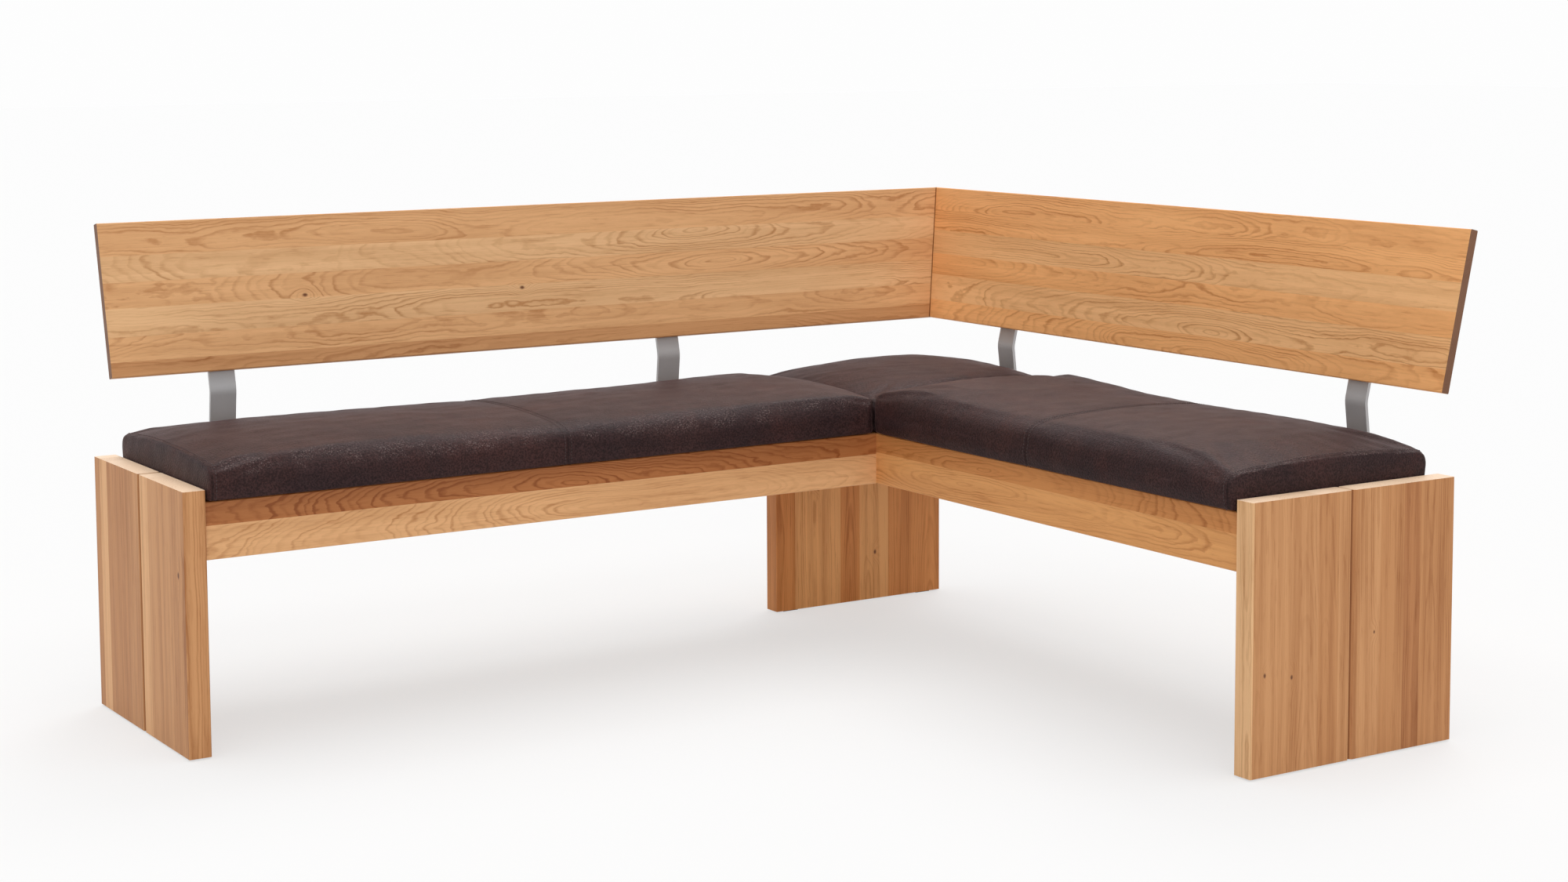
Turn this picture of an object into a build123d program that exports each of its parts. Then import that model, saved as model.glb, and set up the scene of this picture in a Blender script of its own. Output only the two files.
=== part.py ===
"""Corner bench of solid wood with upholstered pads and backrests on bent steel bars.

Millimetres, +Z up. X runs along the long arm, towards the corner, and Y from the
sitter to the rear. The origin lies on the floor, in the middle of the bench's box.

Both arms are laid out from the rear corner, where their rear lines cross: a place on
an arm is its run from that corner and its depth behind the rear line, so a piece in
front of that line has a negative depth. Pieces of the short arm are made along the
long arm's axis and mirrored in the mitre plane, which swaps run and depth.
"""

import os
from math import atan, cos, pi, radians, sin, tan

from build123d import *

# Driving dimensions

# Plan and panels
long_arm = 1782.0
short_arm = 1468.0
panel_depth = 440.0
panel_height = 440.0
panel_thick = 38.0
front_board_width = 213.0
groove_depth = 5.0
edge_easing = 1.5

# Seat frame
seat_level = 419.0
rail_height = 95.0
rail_thick = 28.0
rail_setback = 8.0
ledger_size = 20.0
batten_width = 60.0
batten_thick = 22.0
long_batten_count = 4
seat_board_thick = 12.0

# Backrests
backrest_height = 274.0
backrest_thick = 16.0
backrest_bottom = 573.0
backrest_offset = 6.0
backrest_lean = 13.0
backrest_inset = 38.0
backrest_rounding = 2.0
mitre_easing = 0.4

# Steel bars of the backrests
bar_width = 48.0
bar_thick = 6.0
bar_bend_radius = 40.0
bar_end_inset = 243.0
bar_corner_gap = 179.0
bar_knee_drop = 34.0
bar_elbow_drop = 62.0
bar_elbow_lean = 6.5
bar_top_length = 150.0
bar_foot_length = 76.0
bar_shoulder_drop = 9.0

# Plates behind the mitre
plate_wing = 60.0
plate_width = 40.0
plate_thick = 3.0
plate_low = 45.0
plate_high = 229.0

# Pads
pad_overhang = 20.0
pad_rear_gap = 14.0
pad_edge_drop = 10.0
pad_seam_radius = 27.0
pad_bay_radius = 46.0
pad_rear_radius = 20.0
pad_bay_rear_radius = 40.0
pad_tuck = 7.0
pad_seam_crown = 76.0
pad_mid_seam_dip = 3.0
long_pad_crown = 84.0
short_pad_crown = 94.0
corner_pad_crown = 95.0
pad_seam_inset = 2.0
pad_gusset = 8.0
pad_gusset_inset = 9.0
pad_gusset_bow = 0.65
short_pad_seam = 516.0
bay_steps = 8

# Tenons, screws and glides
tenon_length = 40.0
tenon_thick = 10.0
tenon_height = 34.0
tenon_level = 0.3
screw_diameter = 4.0
screw_head_diameter = 8.0
screw_head_height = 2.5
seat_screw_length = 30.0
bar_screw_diameter = 6.0
bar_screw_head_diameter = 12.0
bar_screw_head_height = 3.5
rail_screw_length = 30.0
backrest_screw_length = 17.0
plate_screw_length = 13.0
fastener_sides = 8
glide_width = 22.0
glide_length = 34.0
glide_height = 3.0

# Clearances
tenon_clearance = 0.1
tenon_end_clearance = 1.0
screw_clearance = 0.1
board_clearance = 1.0
batten_clearance = 0.3
pad_clearance = 0.3
mitre_clearance = 0.2

# Derived places

lean = radians(backrest_lean)
lean_sin = sin(lean)
lean_cos = cos(lean)
backrest_reach = (
    backrest_offset
    + (backrest_height - backrest_rounding) * lean_sin
    + (backrest_thick - backrest_rounding) * lean_cos
    + backrest_rounding
)
x_left = -(long_arm + backrest_reach) / 2
x_rear = x_left + long_arm
y_near = -(short_arm + backrest_reach) / 2
y_rear = y_near + short_arm
mitre_plane = Plane(origin=(x_rear, y_rear, 0), x_dir=(1, 1, 0), z_dir=(1, -1, 0))

rail_bottom = seat_level - rail_height
front_rail_depth = rail_setback - panel_depth
rail_run = panel_depth - rail_setback
frame_front = front_rail_depth + rail_thick
frame_rear = -rail_thick
batten_top = seat_level - seat_board_thick
ledger_top = batten_top - batten_thick
board_height = panel_height - glide_height
groove_at = front_board_width - panel_depth
corner_panel_width = rail_run - rail_thick
pad_joint_run = panel_depth + pad_clearance

rail_tenon_height = seat_level - tenon_level * rail_height
corner_tenon_height = rail_bottom + tenon_level * rail_height
panel_tenon_heights = [glide_height + board_height * share for share in (0.2, 0.5, 0.8)]

front_rail_middle = front_rail_depth + rail_thick / 2
rear_rail_middle = -rail_thick / 2
panel_middle = panel_thick / 2

os.makedirs("parts", exist_ok=True)


def place(run, depth, height=0.0):
    """Point on the long arm at this run from the corner and depth behind the rear line."""
    return (x_rear - run, y_rear + depth, height)


def mirrored(point):
    """The same point of the short arm."""
    x, y, z = point
    return (x_rear + y - y_rear, y_rear + x - x_rear, z)


def save(builder, label, on_short_arm=False):
    """Name a finished piece and write it, mirrored when it belongs to the short arm."""
    if on_short_arm:
        with builder:
            mirror(about=mitre_plane, mode=Mode.REPLACE)
    builder.part.label = label
    export_step(builder.part, f"parts/{label}.step")


def tenon_box(points, direction, side=0.0, end=0.0, mode=Mode.ADD):
    """Loose tenons through interface points, or their mortises with side and end clearances."""
    length = tenon_length + 2 * end
    thick = tenon_thick + 2 * side
    plan = (length, thick) if direction == along_x else (thick, length)
    with Locations(*points):
        Box(*plan, tenon_height + 2 * side, mode=mode)


def mortises(points, direction):
    """Cut the mortises of the loose tenons at these interface points."""
    tenon_box(points, direction, tenon_clearance, tenon_end_clearance, Mode.SUBTRACT)


def prisms(points, direction, diameter, length, mode=Mode.ADD):
    """Eight-sided bars for small fasteners and their holes, from the points along the direction."""
    for point in points:
        with BuildSketch(Plane(origin=point, z_dir=direction), mode=Mode.PRIVATE) as section:
            RegularPolygon(diameter / 2, fastener_sides)
        extrude(section.sketch, amount=length, mode=mode)


def block(run, depth, height, mode=Mode.ADD):
    """Box between the given pairs of runs, depths and heights on the long arm."""
    corner = place(run[1], depth[0], height[0])
    with Locations(corner):
        Box(run[1] - run[0], depth[1] - depth[0], height[1] - height[0], align=Align.MIN, mode=mode)


# Loose tenon joints, as points on the interface of the two pieces they join

long_end_run = long_arm - panel_thick
short_end_run = short_arm - panel_thick
rail_middles = (front_rail_middle, rear_rail_middle)
long_end_joints = [place(long_end_run, depth, rail_tenon_height) for depth in rail_middles]
short_end_joints = [place(short_end_run, depth, rail_tenon_height) for depth in rail_middles]
arm_joints = [place(rail_run, depth, rail_tenon_height) for depth in rail_middles]
corner_front_joint = place(corner_panel_width, -panel_middle, corner_tenon_height)
corner_rear_joint = place(panel_thick, rear_rail_middle, rail_tenon_height)
long_groove_joints = [place(long_arm - panel_middle, groove_at, z) for z in panel_tenon_heights]
short_groove_joints = [place(short_arm - panel_middle, groove_at, z) for z in panel_tenon_heights]

along_x = (1, 0, 0)
along_y = (0, 1, 0)
upward = (0, 0, 1)


# End panels: two upright boards each, bevelled where they meet


def end_panel_board(arm_length, depth, joint_side, end_joint, groove_joints):
    """One upright board of an end panel, between two depths, bevelled at its joint."""
    with BuildPart() as board:
        block((arm_length - panel_thick, arm_length), depth, (glide_height, panel_height))
        upright = board.edges().filter_by(Axis.Z).group_by(Axis.Y)
        chamfer(upright[joint_side], groove_depth)
        chamfer(upright[-1 - joint_side], edge_easing)
        mortises([end_joint], along_x)
        mortises(groove_joints, along_y)
    return board


panel_sides = {"left": (long_arm, long_end_joints, long_groove_joints),
               "right": (short_arm, short_end_joints, short_groove_joints)}
for side, (arm_length, end_joints, groove_joints) in panel_sides.items():
    front_board = end_panel_board(arm_length, (-panel_depth, groove_at), -1, end_joints[0], groove_joints)
    save(front_board, f"{side}_panel_front_board", side == "right")
    rear_board = end_panel_board(arm_length, (groove_at, 0), 0, end_joints[1], groove_joints)
    save(rear_board, f"{side}_panel_rear_board", side == "right")

# Corner panel, between the short front rail and the rear line

with BuildPart() as corner_panel:
    block((0, corner_panel_width), (-panel_thick, 0), (glide_height, seat_level))
    chamfer(corner_panel.edges().filter_by(Axis.Z), edge_easing)
    mortises([corner_front_joint], along_x)
    mortises([mirrored(corner_rear_joint)], along_y)
save(corner_panel, "corner_panel")

# Steel bars: places along the arms, and the bent line of the bar seen from the side

bar_runs = {
    "long_bracket_outer": (long_arm - bar_end_inset, False),
    "long_bracket_inner": (panel_depth + bar_corner_gap, False),
    "short_bracket_outer": (short_arm - bar_end_inset, True),
    "short_bracket_inner": (bar_end_inset, True),
}


def on_backrest(rise, behind):
    """Depth and height of a point up the leaning board and behind its front face."""
    return (
        backrest_offset + rise * lean_sin + behind * lean_cos,
        backrest_bottom + rise * lean_cos - behind * lean_sin,
    )


bar_behind = backrest_thick + bar_thick / 2
bar_knee = on_backrest(-bar_knee_drop, bar_behind)
bar_elbow = (bar_knee[0] + bar_elbow_drop * tan(radians(bar_elbow_lean)), bar_knee[1] - bar_elbow_drop)
bar_shoulder = (bar_thick / 2, seat_level - bar_shoulder_drop)
bar_foot = (bar_thick / 2, bar_shoulder[1] - bar_foot_length)
bar_line = [bar_foot, bar_shoulder, bar_elbow, bar_knee, on_backrest(bar_top_length, bar_behind)]

foot_screw_heights = [bar_foot[1] + bar_foot_length * share for share in (0.2, 0.7)]
top_screw_rises = [bar_top_length * share for share in (0.3, 0.8)]
into_backrest = (0, -lean_cos, lean_sin)
into_rail = (0, -1, 0)


def foot_screw_points(run):
    """Seats of the two screw heads on the bar's foot."""
    return [place(run, bar_thick, z) for z in foot_screw_heights]


def top_screw_points(run):
    """Seats of the two screw heads on the bar's leaning part."""
    return [place(run, *on_backrest(rise, backrest_thick + bar_thick)) for rise in top_screw_rises]


def screw_holes(points, direction, diameter, length):
    """Cut clearance holes for screws whose heads seat at the points."""
    prisms(points, direction, diameter + 2 * screw_clearance, length + screw_clearance, Mode.SUBTRACT)


for label, (run, on_short_arm) in bar_runs.items():
    with BuildPart() as bracket:
        with BuildSketch(Plane.YZ.offset(x_rear - run)):
            with BuildLine():
                FilletPolyline(*[(y_rear + depth, z) for depth, z in bar_line], radius=bar_bend_radius)
            trace(line_width=bar_thick)
        extrude(amount=bar_width / 2, both=True)
        screw_holes(foot_screw_points(run), into_rail, bar_screw_diameter, rail_screw_length)
        screw_holes(top_screw_points(run), into_backrest, screw_diameter, backrest_screw_length)
    save(bracket, label, on_short_arm)

long_bar_runs = [run for run, on_short_arm in bar_runs.values() if not on_short_arm]
short_bar_runs = [run for run, on_short_arm in bar_runs.values() if on_short_arm]


# Rails


def rail(run, depth, end_joints, bar_places=()):
    """Rail of the seat frame between two runs, with its end mortises and bar screw holes."""
    with BuildPart() as piece:
        block(run, (depth, depth + rail_thick), (rail_bottom, seat_level))
        chamfer(piece.edges().filter_by(Axis.X), edge_easing)
        mortises(end_joints, along_x)
        for bar_run in bar_places:
            screw_holes(foot_screw_points(bar_run), into_rail, bar_screw_diameter, rail_screw_length)
    return piece


long_front_rail = rail((rail_run, long_end_run), front_rail_depth, [long_end_joints[0], arm_joints[0]])
save(long_front_rail, "long_front_rail")

long_rear_joints = [long_end_joints[1], arm_joints[1]]
long_rear_rail = rail((rail_run, long_end_run), frame_rear, long_rear_joints, long_bar_runs)
save(long_rear_rail, "long_rear_rail")

short_front_rail = rail((0, short_end_run), front_rail_depth, short_end_joints[:1])
with short_front_rail:
    mortises([mirrored(point) for point in [*arm_joints, corner_front_joint]], along_y)
save(short_front_rail, "short_front_rail", on_short_arm=True)

short_rear_joints = [short_end_joints[1], corner_rear_joint]
short_rear_rail = rail((panel_thick, short_end_run), frame_rear, short_rear_joints, short_bar_runs)
save(short_rear_rail, "short_rear_rail", on_short_arm=True)

# Ledger strips along the inner faces of the rails

arm_spans = {"long": (rail_run, long_end_run), "short": (panel_thick, short_end_run)}
ledger_depths = {
    "front": (frame_front, frame_front + ledger_size),
    "rear": (frame_rear - ledger_size, frame_rear),
}
for arm, span in arm_spans.items():
    for side, depth in ledger_depths.items():
        with BuildPart() as ledger:
            block(span, depth, (ledger_top - ledger_size, ledger_top))
        save(ledger, f"{arm}_{side}_ledger", arm == "short")

# Cross battens on the ledgers, with the screws that hold the seat boards

long_batten_step = (long_end_run - rail_run) / long_batten_count
batten_runs = {
    "long": [rail_run + long_batten_step * (index + 0.5) for index in range(long_batten_count)],
    "short": [
        panel_thick + batten_width,
        pad_joint_run,
        (pad_joint_run + short_end_run) / 2,
        short_end_run - batten_width,
    ],
}
screw_stagger = batten_width / 4
screw_depths = (frame_front + 3 * ledger_size, frame_rear - 3 * ledger_size)


def batten_screw_points(run):
    """Undersides of the two screw heads below a batten, one to each side of its middle."""
    sides = zip((1, -1), screw_depths)
    return [place(run + side * screw_stagger, depth, ledger_top) for side, depth in sides]


def seat_screws_at(points, clearance=0.0, mode=Mode.ADD):
    """Upright screws, or their holes, whose sunk heads are flush at the points."""
    prisms(points, upward, screw_diameter + 2 * clearance, seat_screw_length + clearance, mode)
    prisms(points, upward, screw_head_diameter + 2 * clearance, screw_head_height + clearance, mode)


for arm, runs in batten_runs.items():
    for number, run in enumerate(runs, start=1):
        with BuildPart() as batten:
            block(
                (run - batten_width / 2, run + batten_width / 2),
                (frame_front + batten_clearance, frame_rear - batten_clearance),
                (ledger_top, batten_top),
            )
            seat_screws_at(batten_screw_points(run), screw_clearance, Mode.SUBTRACT)
        save(batten, f"{arm}_batten_{number}", arm == "short")

# Plywood boards under the pads, flush with the tops of the rails

seat_spans = {
    "long_seat_board": ("long", (rail_run + board_clearance, long_end_run - board_clearance)),
    "short_seat_board": ("short", (pad_joint_run, short_end_run - board_clearance)),
    "corner_seat_board": ("short", (panel_thick + board_clearance, pad_joint_run - board_clearance)),
}
for label, (arm, span) in seat_spans.items():
    with BuildPart() as seat_board:
        block(span, (frame_front + board_clearance, frame_rear - board_clearance), (batten_top, seat_level))
        for run in batten_runs[arm]:
            seat_screws_at(batten_screw_points(run), screw_clearance, Mode.SUBTRACT)
    save(seat_board, label, arm == "short")

with BuildPart() as seat_screws:
    seat_screws_at([point for run in batten_runs["long"] for point in batten_screw_points(run)])
    seat_screws_at([mirrored(point) for run in batten_runs["short"] for point in batten_screw_points(run)])
save(seat_screws, "seat_screws")

# Plates folded over the mitre, seen as strips behind the leaning board

plate_rises = (plate_low, plate_high)
plate_seat = backrest_thick + plate_thick
plate_screw_shares = (0.4, 0.8)


def plate_screw_points():
    """Seats of the screw heads on the long arm's wings of both plates."""
    seats = [(on_backrest(rise, plate_seat), share) for rise in plate_rises for share in plate_screw_shares]
    return [place(plate_wing * share - depth, depth, z) for (depth, z), share in seats]


with BuildPart() as mitre_plates:
    for rise in plate_rises:
        plate_end = on_backrest(rise, plate_seat)[0] - plate_wing
        with BuildSketch(Plane.YZ.offset(x_rear + plate_end)):
            with BuildLine():
                corners = [
                    on_backrest(rise + side * plate_width / 2, behind)
                    for side, behind in ((-1, backrest_thick), (1, backrest_thick), (1, plate_seat), (-1, plate_seat))
                ]
                Polyline(*[(y_rear + depth, z) for depth, z in corners], close=True)
            make_face()
        extrude(amount=plate_wing + 2 * backrest_reach)
    split(bisect_by=mitre_plane, keep=Keep.BOTTOM)
    screw_holes(plate_screw_points(), into_backrest, screw_diameter, plate_screw_length)
    mirror(about=mitre_plane)
save(mitre_plates, "mitre_plates")


# Backrest boards, leaning back and mitred at the corner, with the mitre's front edges eased

front_normal = Vector(0, -lean_cos, lean_sin)
edge_normal = (front_normal + mitre_plane.z_dir).normalized()
edge_point = Vector(*place(-backrest_offset, backrest_offset, backrest_bottom))
eased_plane = Plane(origin=edge_point - edge_normal * mitre_easing, z_dir=edge_normal)


def backrest_board(arm_length, bar_places):
    """Leaning board from its end inset to the mitre, with its screw holes."""
    end_run = arm_length - backrest_inset
    with BuildPart() as board:
        with BuildSketch(Plane.YZ.offset(x_rear - end_run)):
            with BuildLine():
                corners = [
                    on_backrest(rise, behind)
                    for rise, behind in (
                        (0, 0),
                        (backrest_height, 0),
                        (backrest_height, backrest_thick),
                        (0, backrest_thick),
                    )
                ]
                Polyline(*[(y_rear + depth, z) for depth, z in corners], close=True)
            face = make_face()
            fillet(face.vertices(), backrest_rounding)
        extrude(amount=end_run + 2 * backrest_reach)
        split(bisect_by=mitre_plane.offset(-mitre_clearance / 2), keep=Keep.BOTTOM)
        split(bisect_by=eased_plane, keep=Keep.BOTTOM)
        for run in bar_places:
            screw_holes(top_screw_points(run), into_backrest, screw_diameter, backrest_screw_length)
        screw_holes(plate_screw_points(), into_backrest, screw_diameter, plate_screw_length)
    return board


save(backrest_board(long_arm, long_bar_runs), "long_backrest")
save(backrest_board(short_arm, short_bar_runs), "short_backrest", on_short_arm=True)


# Screws of the bars and plates, and the loose tenons


def pan_head_screws(points, direction, diameter, length):
    """Screws whose heads seat at the points and whose shanks follow the direction."""
    head = bar_screw_head_diameter if diameter == bar_screw_diameter else screw_head_diameter
    outward = tuple(-part for part in direction)
    prisms(points, direction, diameter, length)
    prisms(points, outward, head, bar_screw_head_height)


def both_arms(points_on, direction, diameter, length):
    """Screws at every bar of both arms."""
    with BuildPart() as screws:
        for run in short_bar_runs:
            pan_head_screws(points_on(run), direction, diameter, length)
        mirror(about=mitre_plane, mode=Mode.REPLACE)
        for run in long_bar_runs:
            pan_head_screws(points_on(run), direction, diameter, length)
    return screws


save(both_arms(foot_screw_points, into_rail, bar_screw_diameter, rail_screw_length), "bracket_rail_screws")
backrest_screws = both_arms(top_screw_points, into_backrest, screw_diameter, backrest_screw_length)
save(backrest_screws, "bracket_backrest_screws")

with BuildPart() as mitre_plate_screws:
    pan_head_screws(plate_screw_points(), into_backrest, screw_diameter, plate_screw_length)
    mirror(about=mitre_plane)
save(mitre_plate_screws, "mitre_plate_screws")


with BuildPart() as rail_tenons:
    tenon_box([*long_end_joints, *arm_joints, corner_front_joint], along_x)
    tenon_box([mirrored(point) for point in [*short_end_joints, corner_rear_joint]], along_y)
save(rail_tenons, "rail_tenons")

with BuildPart() as panel_tenons:
    tenon_box(long_groove_joints, along_y)
    tenon_box([mirrored(point) for point in short_groove_joints], along_x)
save(panel_tenons, "panel_tenons")

# Floor glides under the panels

glide_inset = panel_thick
end_glide_depths = [-panel_depth + glide_inset, groove_at - glide_inset, groove_at + glide_inset, -glide_inset]
corner_glide_runs = [glide_inset, corner_panel_width - glide_inset]
end_glide_plan = (glide_width, glide_length)
across_glide_plan = (glide_length, glide_width)
left_glide_points = [place(long_arm - panel_middle, depth) for depth in end_glide_depths]
right_glide_points = [mirrored(place(short_arm - panel_middle, depth)) for depth in end_glide_depths]
corner_glide_points = [place(run, -panel_middle) for run in corner_glide_runs]
glide_sets = {
    "left_panel_glides": (left_glide_points, end_glide_plan),
    "right_panel_glides": (right_glide_points, across_glide_plan),
    "corner_panel_glides": (corner_glide_points, across_glide_plan),
}
for label, (points, plan) in glide_sets.items():
    with BuildPart() as glides:
        with Locations(*points):
            Box(*plan, glide_height, align=(Align.CENTER, Align.CENTER, Align.MIN))
    save(glides, label)


# Upholstered pads


def pad_section(run, front, rear, crown, inset, radii):
    """Outline of a pad across its arm: flat below, bulging faces, rounded edges and a crown."""
    front_radius, rear_radius = radii
    low = y_rear + front + inset
    high = y_rear + rear - inset
    shoulder = seat_level + crown - pad_edge_drop - inset
    chord = high - low - front_radius - rear_radius
    slope = 2 * atan(2 * pad_edge_drop / chord)

    def on_round(centre, radius, angle):
        return (centre + radius * cos(angle), shoulder - radius + radius * sin(angle))

    front_centre = low + front_radius
    rear_centre = high - rear_radius
    front_angles = [radians(180), (radians(270) + slope) / 2, radians(90) + slope]
    rear_angles = [radians(90) - slope, (radians(90) - slope) / 2, 0.0]
    front_round = [on_round(front_centre, front_radius, angle) for angle in front_angles]
    rear_round = [on_round(rear_centre, rear_radius, angle) for angle in rear_angles]
    front_middle = (low + pad_tuck / 4, (seat_level + front_round[0][1]) / 2)
    rear_middle = (high - pad_tuck / 4, (seat_level + rear_round[-1][1]) / 2)
    top = ((front_centre + rear_centre) / 2, seat_level + crown - inset)
    with BuildSketch(Plane.YZ.offset(x_rear - run)) as outline:
        with BuildLine():
            Line((high - pad_tuck, seat_level), (low + pad_tuck, seat_level))
            ThreePointArc((low + pad_tuck, seat_level), front_middle, front_round[0])
            ThreePointArc(*front_round)
            ThreePointArc(front_round[-1], top, rear_round[0])
            ThreePointArc(*rear_round)
            ThreePointArc(rear_round[-1], rear_middle, (high - pad_tuck, seat_level))
        make_face()
    return outline.sketch.face()


def pad(seams, crown, front, rear, bay_radius):
    """Pad sewn at the given runs: a gusset at each end and a crowned bay between seams."""
    middle_crowns = [crown - pad_mid_seam_dip for _ in seams[1:-1]]
    seam_crowns = [pad_seam_crown, *middle_crowns, pad_seam_crown]
    seam_radii = (pad_seam_radius, pad_rear_radius)
    bay_radii = (bay_radius, pad_bay_rear_radius)
    gusset_steps = ((0, pad_seam_inset), (pad_gusset_bow, pad_gusset_inset / 2), (1, pad_gusset_inset))
    with BuildPart() as piece:
        for end, sign in ((seams[0], -1), (seams[-1], 1)):
            gusset = [
                pad_section(end + sign * pad_gusset * share, front, rear, pad_seam_crown, inset, seam_radii)
                for share, inset in gusset_steps
            ]
            loft(sections=gusset, ruled=True)
        for start, stop, start_crown, stop_crown in zip(seams, seams[1:], seam_crowns, seam_crowns[1:]):
            bay = []
            for step in range(bay_steps + 1):
                share = 0.5 - 0.5 * cos(pi * step / bay_steps)
                fullness = (4 * share * (1 - share)) ** 0.5
                sewn_crown = start_crown + share * (stop_crown - start_crown)
                bay.append(
                    pad_section(
                        start + share * (stop - start),
                        front,
                        rear,
                        sewn_crown + fullness * (crown - sewn_crown),
                        pad_seam_inset * (1 - fullness),
                        [sewn + fullness * (full - sewn) for sewn, full in zip(seam_radii, bay_radii)],
                    )
                )
            loft(sections=bay, ruled=True)
    return piece


pad_front = -panel_depth - pad_overhang
pad_rear = -pad_rear_gap
inner_seam = pad_joint_run + pad_gusset
long_outer_seam = long_end_run - pad_clearance - pad_gusset
short_outer_seam = short_end_run - pad_clearance - pad_gusset

long_seams = [inner_seam, (inner_seam + long_outer_seam) / 2, long_outer_seam]
long_cushion = pad(long_seams, long_pad_crown, pad_front, pad_rear, pad_bay_radius)
with long_cushion:
    split(bisect_by=mitre_plane.offset(-pad_clearance), keep=Keep.BOTTOM)
save(long_cushion, "long_cushion")

short_seams = [inner_seam, short_end_run - short_pad_seam, short_outer_seam]
short_cushion = pad(short_seams, short_pad_crown, pad_front, pad_rear, pad_bay_radius)
with short_cushion:
    split(bisect_by=mitre_plane.offset(-pad_clearance), keep=Keep.BOTTOM)
save(short_cushion, "short_cushion", on_short_arm=True)

corner_seams = [pad_rear_gap + pad_gusset, pad_joint_run - pad_clearance - pad_gusset]
corner_cushion = pad(corner_seams, corner_pad_crown, pad_clearance - pad_joint_run, pad_rear, pad_seam_radius)
save(corner_cushion, "corner_cushion")
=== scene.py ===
import math

import bmesh
import bpy
import numpy as np
from mathutils import Matrix, Vector
from mathutils.bvhtree import BVHTree


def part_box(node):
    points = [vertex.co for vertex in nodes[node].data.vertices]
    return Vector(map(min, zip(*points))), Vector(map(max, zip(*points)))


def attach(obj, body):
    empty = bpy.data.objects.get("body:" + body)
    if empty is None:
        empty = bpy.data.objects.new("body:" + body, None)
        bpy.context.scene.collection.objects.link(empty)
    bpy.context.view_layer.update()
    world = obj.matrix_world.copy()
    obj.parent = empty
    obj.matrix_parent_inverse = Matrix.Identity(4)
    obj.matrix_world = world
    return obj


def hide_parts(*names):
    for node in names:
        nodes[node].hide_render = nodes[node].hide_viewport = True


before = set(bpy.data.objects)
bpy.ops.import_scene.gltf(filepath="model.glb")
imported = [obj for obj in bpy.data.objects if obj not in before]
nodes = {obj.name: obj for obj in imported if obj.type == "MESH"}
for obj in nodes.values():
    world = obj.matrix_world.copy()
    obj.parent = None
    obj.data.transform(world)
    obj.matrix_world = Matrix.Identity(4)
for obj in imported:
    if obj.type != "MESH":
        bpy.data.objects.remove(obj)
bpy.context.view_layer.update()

# Places read from the frame, in metres
x_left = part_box("left_panel_front_board")[0].x
y_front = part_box("left_panel_front_board")[0].y
x_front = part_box("right_panel_front_board")[0].x
x_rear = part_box("right_panel_rear_board")[1].x
y_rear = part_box("left_panel_rear_board")[1].y
seat_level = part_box("corner_panel")[1].z
panel_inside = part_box("right_panel_front_board")[1].y
left_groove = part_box("left_panel_rear_board")[0].y
right_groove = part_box("right_panel_rear_board")[0].x

ALONG_X, ALONG_Y, ALONG_Z = (1, 0, 0), (0, 1, 0), (0, 0, 1)
AXES = (ALONG_X, ALONG_Y, ALONG_Z)

# Camera, from the left panel's outer front corner
CAMERA_PLACE = (-1.4435, -4.0454, 1.1653)
CAMERA_YAW = 32.55
CAMERA_PITCH = 5.4
CAMERA_ROLL = 0.28
CAMERA_LENS = 60.91
CAMERA_SHIFT = (0.0009, -0.100)
SENSOR_WIDTH = 36.0
CLIP_END = 200.0

# Studio
FLOOR_SIZE = 40.0
FLOOR_GLOW = 0.60
FLOOR_SEEN = 0.31
FLOOR_BOUNCE = 0.75
BACKDROP_LEVEL = 0.985
AMBIENT_LEVEL = 0.42
SKY_SUN = (2.0, (0.0, -0.05, 1.0), 70.0)
FRONT_SUN = (0.75, (-0.5, -1.0, 0.12), 40.0)
BACK_SUN = (0.6, (0.55, 0.5, 0.75), 30.0)

# Pads
VOXEL = 0.0065
PAD_SHRINK = 0.003
PAD_CAP = 0.0035
PIN_BAND = 0.005
PIN_FOOT = 0.012
SIM_FRAMES = 20
GUSSET = 0.008
SHORT_SEAM_FROM_END = 0.516
SEAM_CUTS = (-0.006, -0.0035, -0.0015, 0.0, 0.0015, 0.0035, 0.006)
SEAM_WIDTH = 0.0018
SEAM_ON_TOP = 0.2
SEAM_LINE = 0.0017
MID_SEAM = (0.0013, 0.0003)
END_SEAM = (0.0016, 0.0)
PUCKER_REACH = 0.022
FULL_REACH = 0.35
FULL_FROM = 0.06
SHORT_FAR_FULL = 0.016
LONG_RIGHT_FULL = 0.008
CORNER_RIGHT_FULL = 0.009
UNEVEN_DEPTH = 0.0004
STITCH_PITCH = 0.0056
STITCH_LENGTH = 0.0040
STITCH_RADIUS = 0.00075
STITCH_OFFSET = 0.0058
STITCH_LIFT = 0.0002
SEWN_FROM = 0.004
SEWN_FADE = 0.02
UNEVEN_WAVES = (38.0, 61.0, 88.0)
PUCKER_STRENGTHS = (0.5, 0.3, 0.2)
PUCKER_WAVES = (190.0, 320.0, 520.0)
PAD_SLACK = 0.004
WELD = 1e-5


def srgb(red, green, blue):
    """Linear colour of an 8-bit display colour."""
    shares = [value / 255 for value in (red, green, blue)]
    linear = [s / 12.92 if s <= 0.04045 else ((s + 0.055) / 1.055) ** 2.4 for s in shares]
    return (*linear, 1.0)


def grey(level):
    return (level, level, level, 1.0)


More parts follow.
